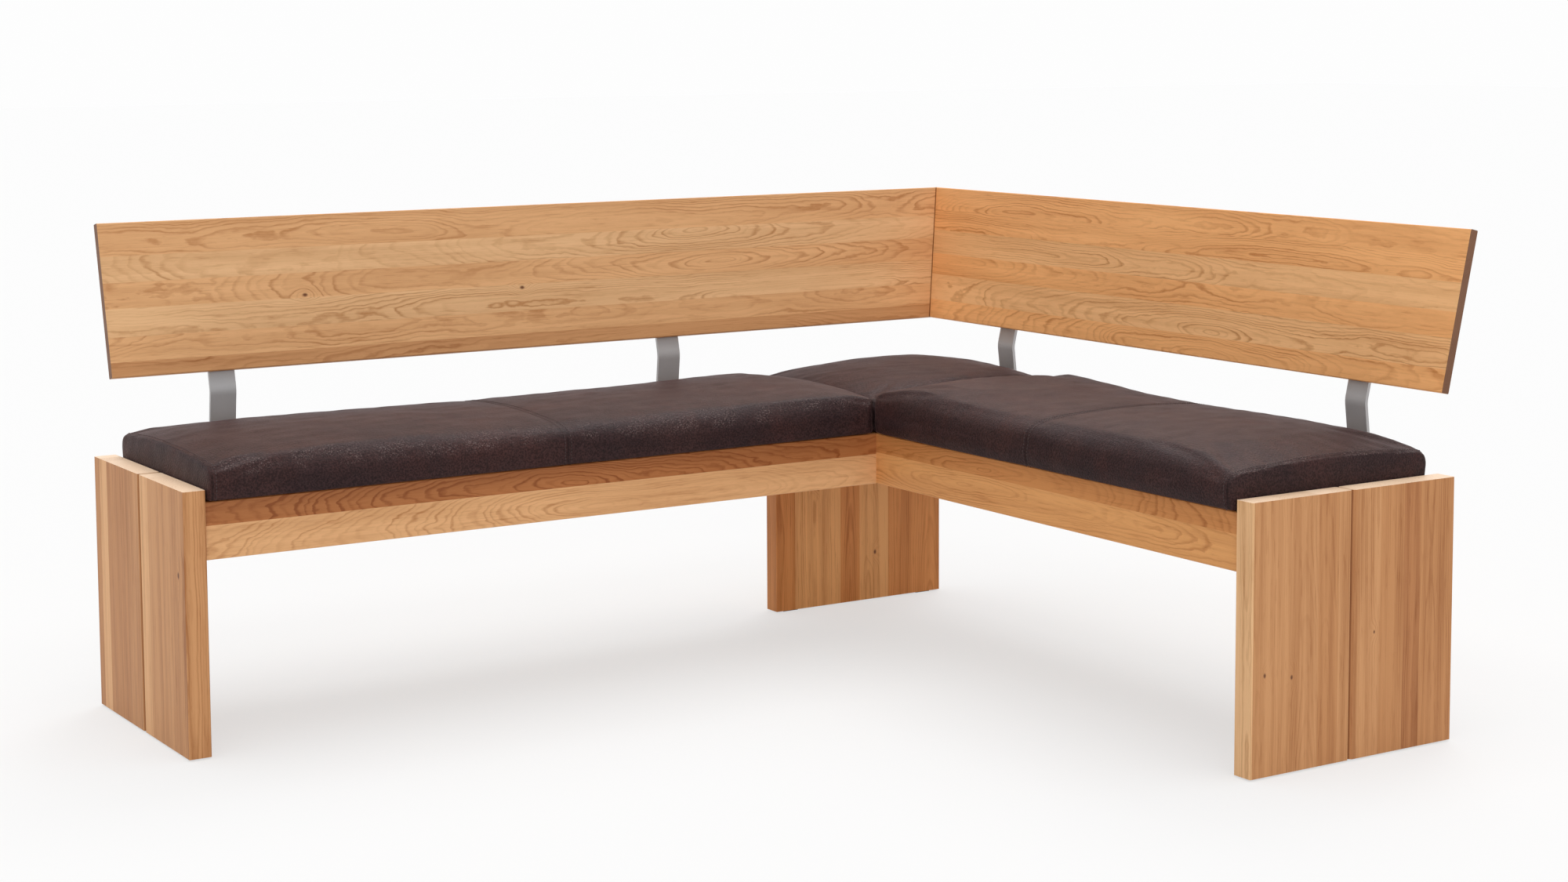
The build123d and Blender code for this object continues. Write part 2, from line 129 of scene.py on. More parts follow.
class Tree:
    """One material's node tree, with short calls for the nodes that the finishes use."""

    def __init__(self, name):
        self.material = bpy.data.materials.new(name)
        self.material.use_nodes = True
        self.nodes = self.material.node_tree.nodes
        self.links = self.material.node_tree.links
        self.shader = self.nodes["Principled BSDF"]

    def feed(self, socket, value):
        """Link a socket to another one, or set its value."""
        if isinstance(value, bpy.types.NodeSocket):
            self.links.new(value, socket)
        else:
            socket.default_value = value

    def node(self, kind, inputs, **settings):
        """New node with its settings and inputs."""
        made = self.nodes.new(kind)
        for key, value in settings.items():
            setattr(made, key, value)
        for key, value in inputs.items():
            self.feed(made.inputs[key], value)
        return made

    def position(self):
        """Place on the object, in the row frame."""
        return self.node("ShaderNodeTexCoord", {}).outputs["Object"]

    def normal(self):
        return self.node("ShaderNodeNewGeometry", {}).outputs["Normal"]

    def math(self, operation, first, second=0.0, third=0.0):
        made = self.node("ShaderNodeMath", {0: first, 1: second, 2: third}, operation=operation)
        return made.outputs[0]

    def times(self, value, factor):
        return self.math("MULTIPLY", value, factor)

    def plus(self, first, second):
        return self.math("ADD", first, second)

    def minus(self, first, second):
        return self.math("SUBTRACT", first, second)

    def added(self, total, value, factor):
        """Total plus value times factor."""
        return self.math("MULTIPLY_ADD", value, factor, total)

    def length(self, first, second):
        """Length of a vector of two parts."""
        squares = self.plus(self.math("POWER", first, 2.0), self.math("POWER", second, 2.0))
        return self.math("SQRT", squares)

    def dot(self, vector, direction):
        inputs = {0: vector, 1: direction}
        return self.node("ShaderNodeVectorMath", inputs, operation="DOT_PRODUCT").outputs["Value"]

    def vector(self, x, y, z):
        return self.node("ShaderNodeCombineXYZ", {0: x, 1: y, 2: z}).outputs[0]

    def split(self, colour):
        made = self.node("ShaderNodeSeparateColor", {0: colour})
        return made.outputs[0], made.outputs[1], made.outputs[2]

    def noise(self, vector, scale=1.0, detail=2.0, roughness=0.5):
        inputs = {"Vector": vector, "Scale": scale, "Detail": detail, "Roughness": roughness}
        return self.node("ShaderNodeTexNoise", inputs).outputs["Fac"]

    def streaks(self, parts, scales, detail=2.0, roughness=0.5):
        """Noise with a scale of its own along each part, about zero."""
        place = self.vector(*[self.times(part, scale) for part, scale in zip(parts, scales)])
        return self.minus(self.noise(place, 1.0, detail, roughness), 0.5)

    def chance(self, value):
        """Random number of its own for each value."""
        made = self.node("ShaderNodeTexWhiteNoise", {"W": value}, noise_dimensions="1D")
        return made.outputs["Value"]

    def cells(self, vector, scale, feature="F1"):
        inputs = {"Vector": vector, "Scale": scale}
        return self.node("ShaderNodeTexVoronoi", inputs, feature=feature).outputs["Distance"]

    def ramp(self, factor, stops, interpolation="LINEAR"):
        made = self.node("ShaderNodeValToRGB", {0: factor})
        made.color_ramp.interpolation = interpolation
        elements = made.color_ramp.elements
        while len(elements) < len(stops):
            elements.new(1.0)
        for element, (place, colour) in zip(elements, stops):
            element.position = place
            element.color = colour
        return made.outputs[0]

    def mix(self, factor, first, second, blend="MIX"):
        inputs = {0: factor, 6: first, 7: second}
        return self.node("ShaderNodeMix", inputs, data_type="RGBA", blend_type=blend).outputs[2]

    def smooth(self, value, low, high, at_low=0.0, at_high=1.0):
        inputs = {0: value, 1: low, 2: high, 3: at_low, 4: at_high}
        return self.node("ShaderNodeMapRange", inputs, interpolation_type="SMOOTHSTEP").outputs[0]

    def bump(self, height, strength, distance):
        inputs = {"Height": height, "Strength": strength, "Distance": distance}
        self.feed(self.shader.inputs["Normal"], self.node("ShaderNodeBump", inputs).outputs[0])

    def finish(self, **sockets):
        """Set the shader's sockets by name and return the material."""
        for name, value in sockets.items():
            label = name.replace("_", " ").title().replace("Ior", "IOR")
            self.feed(self.shader.inputs[label], value)
        return self.material


# Wood of glued lamellae

PALE = srgb(235, 188, 138)
HONEY = srgb(231, 178, 126)
GOLDEN = srgb(234, 175, 114)
TAN = srgb(208, 152, 102)
RUSSET = srgb(198, 140, 90)
UMBER = srgb(186, 126, 78)
BROWN_WITH_PAINTED_SHADE = srgb(182, 115, 65)
# Brighter tones for the short backrest: painted light that lifts the face which turns away from the
# lamps
SUNNY_PAINTED_LIGHT = srgb(248, 192, 134)
AMBER_PAINTED_LIGHT = srgb(250, 184, 120)
ORANGE = srgb(234, 170, 106)
RUSTY = srgb(216, 146, 84)
DARK_END = srgb(124, 86, 62)
PALE_END_WITH_PAINTED_LIGHT = srgb(240, 210, 180)
KNOT = srgb(112, 66, 40)
JOINT_PAINTED_SHADE = (0.58, 0.48, 0.38, 1.0)

RING_SPACING = 0.0042
RING_DARK = (0.60, 0.46, 0.33, 1.0)
RING_PROFILE = [(0.0, grey(0.0)), (0.50, grey(0.12)), (0.78, grey(1.0)),
                (0.90, grey(0.7)), (1.0, grey(0.0))]
YEAR_RANGE = (0.35, 1.25)
LOUD_RANGE = (0.22, 1.0)
KNOT_SWELL = -0.12
KNOT_LENGTH = 1.5
KNOT_PUSH = 3.0
LAMELLA_SHUFFLE = 40.0

# Scales of the wood's noises, along the grain first except for spacing and specks
BEND_SCALES = (1.7, 3.0, 1.0)
LIFT_SCALES = (1.6, 1.0, 2.0)
WAVE_SCALES = (9.0, 28.0, 1.0)
RIPPLE_SCALES = (38.0, 90.0, 1.0)
SPACING_SCALES = (90.0, 1.0, 1.0)
LOUD_SCALES = (2.6, 13.0, 1.0)
FIBRE_SCALES = (8.0, 520.0, 520.0)
PORE_SCALES = (60.0, 1300.0, 1300.0)
DASH_SCALES = (20.0, 260.0, 260.0)
BAND_SCALES = (1.6, 80.0, 80.0)
CLOUD_SCALES = (2.2, 16.0, 1.0)
SPECK_SCALES = (420.0, 420.0, 1.0)

# Slope of the heart line, and how far it and the rings wander, in metres
HEART_SLOPE = 0.26
HEART_ASIDE = -0.05
HEART_BEND = 0.05
HEART_DEPTH = 0.04
HEART_LIFT = 0.10
RING_WAVE = 0.010
RING_RIPPLE = 0.0036
RING_UNEVEN = 0.008

# Weights of the marks in the shade, on the faces and on the cut ends
PLAIN_SHADE = 0.14
RING_SHADE = 0.74
FIBRE_SHADE = 0.50
PORE_SHADE = 0.20
DASH_SHADE = 0.26
BAND_SHADE = 0.70
CLOUD_SHADE = 0.85
END_PLAIN = 0.06
END_RING = 0.25
END_SPECK = 0.6
END_SPREAD = 0.5


def lamella_wood(name, along, across, through, start, middle_depth, lamellae, seed,
                 knots=(), joints=(), end=PALE_END_WITH_PAINTED_LIGHT, figure=1.0, wild=1.0, streak=1.0):
    """Oiled wood of lamellae.

    Lamellae are pairs of width and colour, from start across the grain. Knots are triples of
    place along the grain, place across it from start, and radius. Joints are triples of
    direction, place and reach, and get painted shade for the shadow in the groove or mitre.
    Figure, the strength of the rings, is one number or one for each lamella.
    """
    tree = Tree(name)
    place = tree.position()
    a, c, t = (tree.dot(place, axis) for axis in (along, across, through))
    total = sum(width for width, _ in lamellae)
    edges = np.cumsum([0.0] + [width for width, _ in lamellae])
    share = tree.math("DIVIDE", tree.minus(c, start), total)
    random = np.random.default_rng(seed)
    tones, marks, strengths = [], [], []
    figures = figure if isinstance(figure, list) else [figure] * len(lamellae)
    for low, high, (_, colour), strength in zip(edges, edges[1:], lamellae, figures):
        tones.append((low / total, colour))
        strengths.append((low / total, grey(strength)))
        marks.append((low / total, ((low + high) / 2 / total, *random.random(2), 1.0)))
    tone = tree.ramp(share, tones, "CONSTANT")
    middle, first, second = tree.split(tree.ramp(share, marks, "CONSTANT"))
    local = tree.times(tree.minus(share, middle), total)
    shuffle = tree.times(first, LAMELLA_SHUFFLE)
    inner = tree.minus(t, middle_depth)

    # Growth rings about a heart line that wanders along each lamella
    bend = tree.streaks((a, c, shuffle), BEND_SCALES)
    lift = tree.streaks((a, shuffle, c), LIFT_SCALES)
    wave = tree.streaks((a, c, shuffle), WAVE_SCALES)
    ripple = tree.streaks((a, c, shuffle), RIPPLE_SCALES)
    slope = tree.times(a, tree.times(tree.minus(second, 0.5), HEART_SLOPE * wild))
    aside = tree.added(local, tree.minus(first, 0.5), HEART_ASIDE)
    side = tree.added(aside, bend, HEART_BEND * wild)
    below = tree.plus(inner, tree.added(slope, first, HEART_DEPTH))
    depth = tree.added(below, lift, HEART_LIFT * wild)
    radius = tree.added(tree.length(side, depth), wave, RING_WAVE * wild)
    radius = tree.added(radius, ripple, RING_RIPPLE * wild)
    dark_knots = 0.0
    for knot_along, knot_across, knot_radius in knots:
        far_along = tree.math("DIVIDE", tree.minus(a, knot_along), KNOT_LENGTH * knot_radius)
        far_across = tree.math("DIVIDE", tree.minus(c, start + knot_across), knot_radius)
        far = tree.length(far_along, far_across)
        fade = tree.times(tree.math("POWER", far, 2.0), KNOT_SWELL)
        swell = tree.math("POWER", math.e, fade)
        radius = tree.added(radius, swell, KNOT_PUSH * knot_radius)
        dark_knots = tree.math("MAXIMUM", dark_knots, tree.smooth(far, 0.9, 0.25))
    uneven = tree.streaks((radius, shuffle, first), SPACING_SCALES)
    radius = tree.added(radius, uneven, RING_UNEVEN)
    ring = tree.math("DIVIDE", radius, RING_SPACING)
    year = tree.smooth(tree.chance(tree.math("FLOOR", ring)), 0.0, 1.0, *YEAR_RANGE)
    late = tree.times(tree.split(tree.ramp(tree.math("FRACT", ring), RING_PROFILE))[0], year)
    loud = tree.smooth(tree.streaks((a, c, shuffle), LOUD_SCALES), -0.16, 0.2, *LOUD_RANGE)

    # Fibres, pores and slow changes of tone along each lamella
    fibre = tree.streaks((a, c, t), FIBRE_SCALES, 3.0, 0.62)
    pore = tree.smooth(tree.streaks((a, c, t), PORE_SCALES, 1.0), 0.12, 0.24)
    dash = tree.smooth(tree.streaks((a, c, t), DASH_SCALES, 2.0), 0.06, 0.22)
    band = tree.streaks((a, c, t), BAND_SCALES, 3.0)
    cloud = tree.streaks((a, c, shuffle), CLOUD_SCALES, 3.0, 0.55)

    strength = tree.split(tree.ramp(share, strengths, "CONSTANT"))[0]
    rings = tree.times(tree.times(late, loud), strength)
    shade = tree.added(PLAIN_SHADE, rings, RING_SHADE)
    shade = tree.added(shade, fibre, FIBRE_SHADE)
    shade = tree.added(shade, pore, PORE_SHADE)
    shade = tree.added(shade, dash, DASH_SHADE)
    shade = tree.added(shade, band, BAND_SHADE * streak)
    shade = tree.added(shade, cloud, CLOUD_SHADE)
    colour = tree.mix(shade, tone, tree.mix(1.0, tone, RING_DARK, "MULTIPLY"))
    colour = tree.mix(dark_knots, colour, KNOT)

    # Cut ends show closed rings and a tone of their own
    facing = tree.math("ABSOLUTE", tree.dot(tree.normal(), along))
    is_end = tree.smooth(facing, 0.75, 0.95)
    speck = tree.streaks((c, t, shuffle), SPECK_SCALES)
    end_shade = tree.added(tree.added(END_PLAIN, late, END_RING), speck, END_SPECK)
    end_shade = tree.added(end_shade, tree.minus(second, 0.5), END_SPREAD)
    # The pale default end tone is partly the end grain's own and partly painted light on the lit
    # panel tops
    end_colour = tree.mix(end_shade, end, tree.mix(1.0, end, RING_DARK, "MULTIPLY"))
    colour = tree.mix(is_end, colour, end_colour)
    # Painted shade along the joints, for the shadow in the grooves and the mitre
    for direction, joint_place, reach in joints:
        off = tree.math("ABSOLUTE", tree.minus(tree.dot(place, direction), joint_place))
        near = tree.smooth(off, reach, 0.5 * reach)
        colour = tree.mix(near, colour, JOINT_PAINTED_SHADE, "MULTIPLY")

    tree.bump(tree.minus(tree.times(fibre, 0.5), pore), 0.22, 0.0005)
    rough = tree.added(0.52, fibre, 0.25)
    return tree.finish(base_color=colour, roughness=rough, specular_ior_level=0.30)


def lamellae_of(total, widths, tones):
    """Widths scaled to the total and paired with tones."""
    scale = total / sum(widths)
    return [(width * scale, tone) for width, tone in zip(widths, tones)]


def extent(node, direction):
    """Lowest and highest reach of a node along a direction."""
    reach = np.array([vertex.co for vertex in nodes[node].data.vertices]) @ np.array(direction)
    return float(reach.min()), float(reach.max())


def paint(node, material):
    nodes[node].data.materials.clear()
    nodes[node].data.materials.append(material)


def wood_node(node, along, across, through, widths, tones, seed, **options):
    """Give a CAD board its own lamella wood."""
    low, high = extent(node, across)
    middle_depth = sum(extent(node, through)) / 2
    lamellae = lamellae_of(high - low, widths, tones)
    material = lamella_wood(f"wood_{node}", along, across, through, low, middle_depth,
                            lamellae, seed, **options)
    paint(node, material)


LEAN = math.radians(13.0)
UP_LONG = (0, math.sin(LEAN), math.cos(LEAN))
OUT_LONG = (0, -math.cos(LEAN), math.sin(LEAN))
UP_SHORT = (math.sin(LEAN), 0, math.cos(LEAN))
OUT_SHORT = (-math.cos(LEAN), 0, math.sin(LEAN))
MITRE = (math.sqrt(0.5), -math.sqrt(0.5), 0)
# Joint lines: painted shade for the shadow in the mitre and in the panels' grooves
mitre_joint = (MITRE, (x_rear - y_rear) * math.sqrt(0.5), 0.0016)
left_joint = (ALONG_Y, left_groove, 0.0060)
right_joint = (ALONG_X, right_groove, 0.0026)

wood_node("long_backrest", ALONG_X, UP_LONG, OUT_LONG, [26, 44, 50, 46, 48, 60],
          [TAN, HONEY, PALE, HONEY, PALE, HONEY], 3, end=DARK_END, joints=[mitre_joint],
          knots=[(x_left + 0.41, 0.126, 0.005), (x_left + 0.85, 0.115, 0.005)])
# Short backrest: its brighter tones are painted light, lifting the face that turns away from the
# lamps
wood_node("short_backrest", ALONG_Y, UP_SHORT, OUT_SHORT, [38, 52, 44, 50, 42, 48],
          [AMBER_PAINTED_LIGHT, SUNNY_PAINTED_LIGHT, AMBER_PAINTED_LIGHT, SUNNY_PAINTED_LIGHT, AMBER_PAINTED_LIGHT, AMBER_PAINTED_LIGHT], 8, end=DARK_END, joints=[mitre_joint])
# Long front rail: the dark upper lamella with its strong figure is partly the wood's own darker
# lamella and partly painted shade from the pad's overhang
wood_node("long_front_rail", ALONG_X, ALONG_Z, ALONG_Y, [56, 39], [HONEY, BROWN_WITH_PAINTED_SHADE], 12,
          figure=[0.75, 1.7], wild=1.3)
# Short front rail: the darker upper band is painted shade from the pad's overhang
wood_node("short_front_rail", ALONG_Y, ALONG_Z, ALONG_X, [60, 36], [ORANGE, RUSTY], 15)
wood_node("long_rear_rail", ALONG_X, ALONG_Z, ALONG_Y, [55, 40], [HONEY, GOLDEN], 18)
wood_node("short_rear_rail", ALONG_Y, ALONG_Z, ALONG_X, [45, 50], [GOLDEN, HONEY], 21)
PANEL_LOOK = {"figure": 0.7, "wild": 0.45, "streak": 2.6}
wood_node("left_panel_front_board", ALONG_Z, ALONG_Y, ALONG_X, [32, 54, 84, 43],
          [TAN, TAN, TAN, HONEY], 24, joints=[left_joint],
          knots=[(0.30, 0.03, 0.006)], **PANEL_LOOK)
wood_node("left_panel_rear_board", ALONG_Z, ALONG_Y, ALONG_X, [68, 96, 36, 27],
          [TAN, RUSSET, HONEY, RUSSET], 27, joints=[left_joint], **PANEL_LOOK)
wood_node("right_panel_front_board", ALONG_Z, ALONG_X, ALONG_Y, [3, 59, 78, 43, 30],
          [PALE, TAN, TAN, RUSSET, TAN], 30, joints=[right_joint],
          knots=[(0.165, 0.028, 0.004), (0.155, 0.085, 0.004)], **PANEL_LOOK)
wood_node("right_panel_rear_board", ALONG_Z, ALONG_X, ALONG_Y, [12, 50, 52, 36, 77],
          [RUSSET, TAN, RUSSET, UMBER, RUSSET], 33, joints=[right_joint],
          knots=[(0.205, 0.05, 0.003)], **PANEL_LOOK)
# Corner panel: its tones are brighter than the other panels' tan and russet, partly painted light
# that lifts it out of the seat's shade
wood_node("corner_panel", ALONG_Z, ALONG_X, ALONG_Y, [44, 58, 52, 48, 70, 66, 66],
          [RUSTY, GOLDEN, GOLDEN, RUSTY, GOLDEN, RUSTY, RUSTY], 36,
          knots=[(0.26, 0.10, 0.006), (0.10, 0.24, 0.005)], **PANEL_LOOK)

one_lamella = [(2.0, GOLDEN)]
frame_wood = lamella_wood("frame_wood", ALONG_X, ALONG_Y, ALONG_Z, -1.0, 0.0, one_lamella, 40)
cross_wood = lamella_wood("cross_wood", ALONG_Y, ALONG_X, ALONG_Z, -1.0, 0.0, one_lamella, 43)
for node in nodes:
    if node.endswith("ledger"):
        paint(node, frame_wood if node.startswith("long") else cross_wood)
    if "batten" in node:
        paint(node, cross_wood if node.startswith("long") else frame_wood)
for node in ("rail_tenons", "panel_tenons"):
    paint(node, frame_wood)


def plywood():
    """Birch plywood: pale veneer on the faces, thin plies on the edges."""
    tree = Tree("plywood")
    place = tree.position()
    x, y, z = (tree.dot(place, axis) for axis in AXES)
    veneer = tree.plus(tree.streaks((x, y, z), (6.0, 60.0, 1.0), 4.0), 0.5)
    plies = tree.math("PINGPONG", tree.times(z, 420.0), 1.0)
    upright = tree.math("ABSOLUTE", tree.dot(tree.normal(), ALONG_Z))
    face = tree.mix(veneer, srgb(222, 192, 150), srgb(196, 158, 112))
    edge = tree.mix(plies, srgb(206, 170, 124), srgb(140, 98, 62))
    tree.bump(veneer, 0.1, 0.0004)
    return tree.finish(base_color=tree.mix(upright, edge, face), roughness=0.6)


plywood_finish = plywood()
for node in ("long_seat_board", "short_seat_board", "corner_seat_board"):
    paint(node, plywood_finish)


# Steel and glides


def satin_steel(name, light, dark, brush_axis):
    """Brushed steel: fine lines along one axis and faint cloudiness."""
    tree = Tree(name)
    place = tree.position()
    parts = [tree.dot(place, axis) for axis in AXES]
    lines = tree.streaks(parts, [6.0 if axis == brush_axis else 1400.0 for axis in AXES], 3.0, 0.6)
    cloud = tree.noise(place, 22.0, 3.0)
    colour = tree.mix(tree.added(tree.times(cloud, 0.5), tree.plus(lines, 0.5), 0.5), dark, light)
    tree.bump(lines, 0.06, 0.0003)
    rough = tree.added(0.40, cloud, 0.2)
    return tree.finish(base_color=colour, roughness=rough, metallic=0.35, specular_ior_level=0.5)


bar_steel = satin_steel("bar_steel", srgb(192, 191, 192), srgb(174, 173, 174), ALONG_Z)
for node in ("long_bracket_outer", "long_bracket_inner", "short_bracket_outer",
             "short_bracket_inner", "mitre_plates"):
    paint(node, bar_steel)
screw_steel = satin_steel("screw_steel", srgb(200, 200, 198), srgb(150, 150, 150), ALONG_X)


def glide_plastic():
    """Dark plastic with a fine moulded grain."""
    tree = Tree("glide_plastic")
    grain = tree.noise(tree.position(), 900.0, 2.0)
    tree.bump(grain, 0.2, 0.0003)
    colour = tree.mix(grain, srgb(34, 30, 27), srgb(58, 52, 47))
    return tree.finish(base_color=colour, roughness=0.6)


glide_finish = glide_plastic()
for node in ("left_panel_glides", "right_panel_glides", "corner_panel_glides"):
    paint(node, glide_finish)


# Leather and thread


LEATHER_DARK = srgb(46, 31, 32)
LEATHER_RED = srgb(56, 37, 36)
LEATHER_GREY = srgb(50, 37, 38)
LEATHER_RUBBED_AND_HIGHLIGHT = srgb(104, 82, 82)
LEATHER_CREASE_SHADE = srgb(26, 18, 17)
LEATHER_WARM = srgb(68, 41, 38)
LEATHER_GLINT = srgb(160, 138, 134)
LEATHER_SEAM_SHADE = srgb(18, 12, 12)
LEATHER_SHEEN = srgb(255, 198, 192)
MOTTLE_SCALE = 7.0
WARM_SCALE = 11.0
PATCH_SCALE = 26.0
CREASE_SCALE = 150.0
PEBBLE_SCALE = 280.0
GRAIN_SCALE = 330.0
GLINT_SCALE = 430.0
FINE_SCALE = 1300.0
LONG_EDGE = (0, -0.64, 0.77)
SHORT_EDGE = (-0.64, 0, 0.77)


def leather():
    """Dark brown vintage leather: red-brown mottling, pebbled pores, wear specks, painted
    highlights and shade.
    """
    tree = Tree("leather")
    place = tree.position()
    mottle = tree.noise(place, MOTTLE_SCALE, 5.0, 0.6)
    patch = tree.noise(place, PATCH_SCALE, 4.0, 0.6)
    pebble = tree.cells(place, PEBBLE_SCALE)
    fine = tree.noise(place, FINE_SCALE, 2.0, 0.6)
    crease = tree.cells(place, CREASE_SCALE, "DISTANCE_TO_EDGE")
    crease_line = tree.smooth(crease, 0.0, 0.10, 1.0, 0.0)
    crease_here = tree.times(crease_line, tree.smooth(patch, 0.5, 0.7))
    ground = tree.mix(tree.smooth(mottle, 0.36, 0.66), LEATHER_DARK, LEATHER_RED)
    ground = tree.mix(tree.times(tree.smooth(patch, 0.4, 0.75), 0.5), ground, LEATHER_GREY)
    # Light specks, partly wear and partly painted highlight
    rubbed_and_highlight = tree.times(tree.smooth(fine, 0.58, 0.76), 0.30)
    ground = tree.mix(rubbed_and_highlight, ground, LEATHER_RUBBED_AND_HIGHLIGHT)
    # Painted shade in the fine crease lines
    ground = tree.mix(tree.times(crease_here, 0.35), ground, LEATHER_CREASE_SHADE)
    warm = tree.noise(place, WARM_SCALE, 4.0, 0.65)
    ground = tree.mix(tree.times(tree.smooth(warm, 0.46, 0.74), 0.45), ground, LEATHER_WARM)
    grain = tree.smooth(tree.noise(place, GRAIN_SCALE, 2.0, 0.6), 0.34, 0.66, 0.62, 1.42)
    ground = tree.mix(1.0, ground, tree.vector(grain, grain, grain), "MULTIPLY")
    # Painted highlight: light glints on the front top edges, where the pads catch the light
    facing = tree.normal()
    edge = tree.smooth(tree.dot(facing, LONG_EDGE), 0.80, 0.98)
    edge = tree.added(edge, tree.smooth(tree.dot(facing, SHORT_EDGE), 0.86, 0.99), 0.4)
    glint = tree.smooth(tree.noise(place, GLINT_SCALE, 2.0, 0.6), 0.54, 0.66)
    glint = tree.times(glint, tree.smooth(patch, 0.40, 0.58))
    ground = tree.mix(tree.times(tree.times(glint, edge), 0.34), ground, LEATHER_GLINT)
    # Painted shade along the seams, for the shadow in the sewn creases
    seam_shade = tree.node("ShaderNodeAttribute", {}, attribute_name="seam_shade").outputs["Fac"]
    ground = tree.mix(tree.times(seam_shade, 0.55), ground, LEATHER_SEAM_SHADE)
    height = tree.plus(tree.times(pebble, 0.8), tree.times(fine, 0.5))
    height = tree.minus(height, tree.times(crease_here, 0.4))
    tree.bump(height, 0.6, 0.0012)
    rough = tree.added(0.40, patch, 0.20)
    return tree.finish(base_color=ground, roughness=rough, specular_ior_level=0.10,
                       sheen_weight=0.13, sheen_roughness=0.22, sheen_tint=LEATHER_SHEEN)


def thread():
    """Twisted sewing thread, a little darker than the leather."""
    tree = Tree("thread")
    twist = tree.noise(tree.position(), 2200.0, 1.0)
    tree.bump(twist, 0.3, 0.0002)
    colour = tree.mix(twist, srgb(40, 29, 29), srgb(66, 50, 49))
    return tree.finish(base_color=colour, roughness=0.75, sheen_weight=0.2,
                       sheen_roughness=0.4, sheen_tint=LEATHER_SHEEN)


leather_finish = leather()
thread_finish = thread()


# Pads: CAD shape, remeshed and blown up as cloth between its sewn seams


def new_object(name, mesh, material):
    made = bpy.data.objects.new(name, mesh)
    bpy.context.scene.collection.objects.link(made)
    made.data.materials.clear()
    made.data.materials.append(material)
    return made


def smooth_shaded(mesh):
    mesh.polygons.foreach_set("use_smooth", np.ones(len(mesh.polygons), bool))


def coordinates(mesh):
    flat = np.empty(len(mesh.vertices) * 3, np.float32)
    mesh.vertices.foreach_get("co", flat)
    return flat.reshape(-1, 3).astype(float)


def normals(mesh):
    flat = np.empty(len(mesh.vertices) * 3, np.float32)
    mesh.vertex_normals.foreach_get("vector", flat)
    return flat.reshape(-1, 3).astype(float)


def put(mesh, points):
    mesh.vertices.foreach_set("co", points.astype(np.float32).ravel())
    mesh.update()


def evaluated(obj):
    """A plain mesh of the object with its modifiers."""
    bpy.context.view_layer.update()
    graph = bpy.context.evaluated_depsgraph_get()
    return bpy.data.meshes.new_from_object(obj.evaluated_get(graph), depsgraph=graph)


def remeshed(node, name):
    """Even mesh of a CAD pad, a little inside it."""
    welded = bmesh.new()
    welded.from_mesh(nodes[node].data)
    bmesh.ops.remove_doubles(welded, verts=welded.verts, dist=WELD)
    source = bpy.data.meshes.new(f"{name}_source")
    welded.to_mesh(source)
    welded.free()
    pad = new_object(name, source, leather_finish)
    grid = pad.modifiers.new("grid", "REMESH")
    grid.mode = "VOXEL"
    grid.voxel_size = VOXEL
    mesh = evaluated(pad)
    pad.modifiers.clear()
    pad.data = mesh
    put(mesh, coordinates(mesh) - PAD_SHRINK * normals(mesh))
    return pad


def end_distance(points, seams):
    """Distance of each point to the nearest end seam."""
    ends = (seams[0], seams[-1])
    return np.min([np.abs(points[:, axis] - place) for axis, place, _ in ends], axis=0)


def inflate(pad, pinned):
    """Blow the pad up as cloth that is held at the pinned points, with its motion capped."""
    start = coordinates(pad.data)
    group = pad.vertex_groups.new(name="pinned")
    group.add([int(i) for i in np.nonzero(pinned)[0]], 1.0, "REPLACE")
    cloth = pad.modifiers.new("cloth", "CLOTH")
    settings = cloth.settings
    settings.quality = 4
    settings.mass = 0.35
    settings.tension_stiffness = 25.0
    settings.compression_stiffness = 25.0
    settings.shear_stiffness = 10.0
    settings.bending_stiffness = 4.0
    settings.use_pressure = True
    settings.uniform_pressure_force = 4.0
    settings.vertex_group_mass = "pinned"
    settings.effector_weights.gravity = 0.0
    cloth.collision_settings.use_collision = False
    cloth.point_cache.frame_start = 1
    cloth.point_cache.frame_end = SIM_FRAMES
    for step in range(1, SIM_FRAMES + 1):
        bpy.context.scene.frame_set(step)
    blown = evaluated(pad)
    moved = coordinates(blown) - start
    length = np.linalg.norm(moved, axis=1, keepdims=True)
    capped = start + moved * np.minimum(1.0, PAD_CAP / np.maximum(length, 1e-9))
    pad.modifiers.clear()
    pad.vertex_groups.clear()
    put(pad.data, capped)
    bpy.context.scene.frame_set(1)


def fill_end(pad, axis, place, height):
    """Raise the pad towards one end, from the foot up, so that it stands full there."""
    points = coordinates(pad.data)
    near = np.clip(1.0 - np.abs(points[:, axis] - place) / FULL_REACH, 0.0, 1.0)
    near = near * near * (3.0 - 2.0 * near)
    share = np.clip((points[:, 2] - seat_level) / FULL_FROM, 0.0, 1.0)
    points[:, 2] += height * near * share
    put(pad.data, points)


def refined(pad):
    """One level of subdivision as a plain mesh."""
    level = pad.modifiers.new("refine", "SUBSURF")
    level.levels = 1
    level.render_levels = 1
    mesh = evaluated(pad)
    pad.modifiers.clear()
    pad.data = mesh


def cut_at_seams(pad, seams):
    """Extra loops of edges beside the seams, so that they can be pressed in sharply."""
    shape = bmesh.new()
    shape.from_mesh(pad.data)
    for axis, place, _ in seams:
        for off in SEAM_CUTS:
            point = Vector((0, 0, 0))
            point[axis] = place + off
            geometry = shape.verts[:] + shape.edges[:] + shape.faces[:]
            bmesh.ops.bisect_plane(shape, geom=geometry, dist=1e-6, plane_co=point,
                                   plane_no=AXES[axis])
    shape.to_mesh(pad.data)
    shape.free()


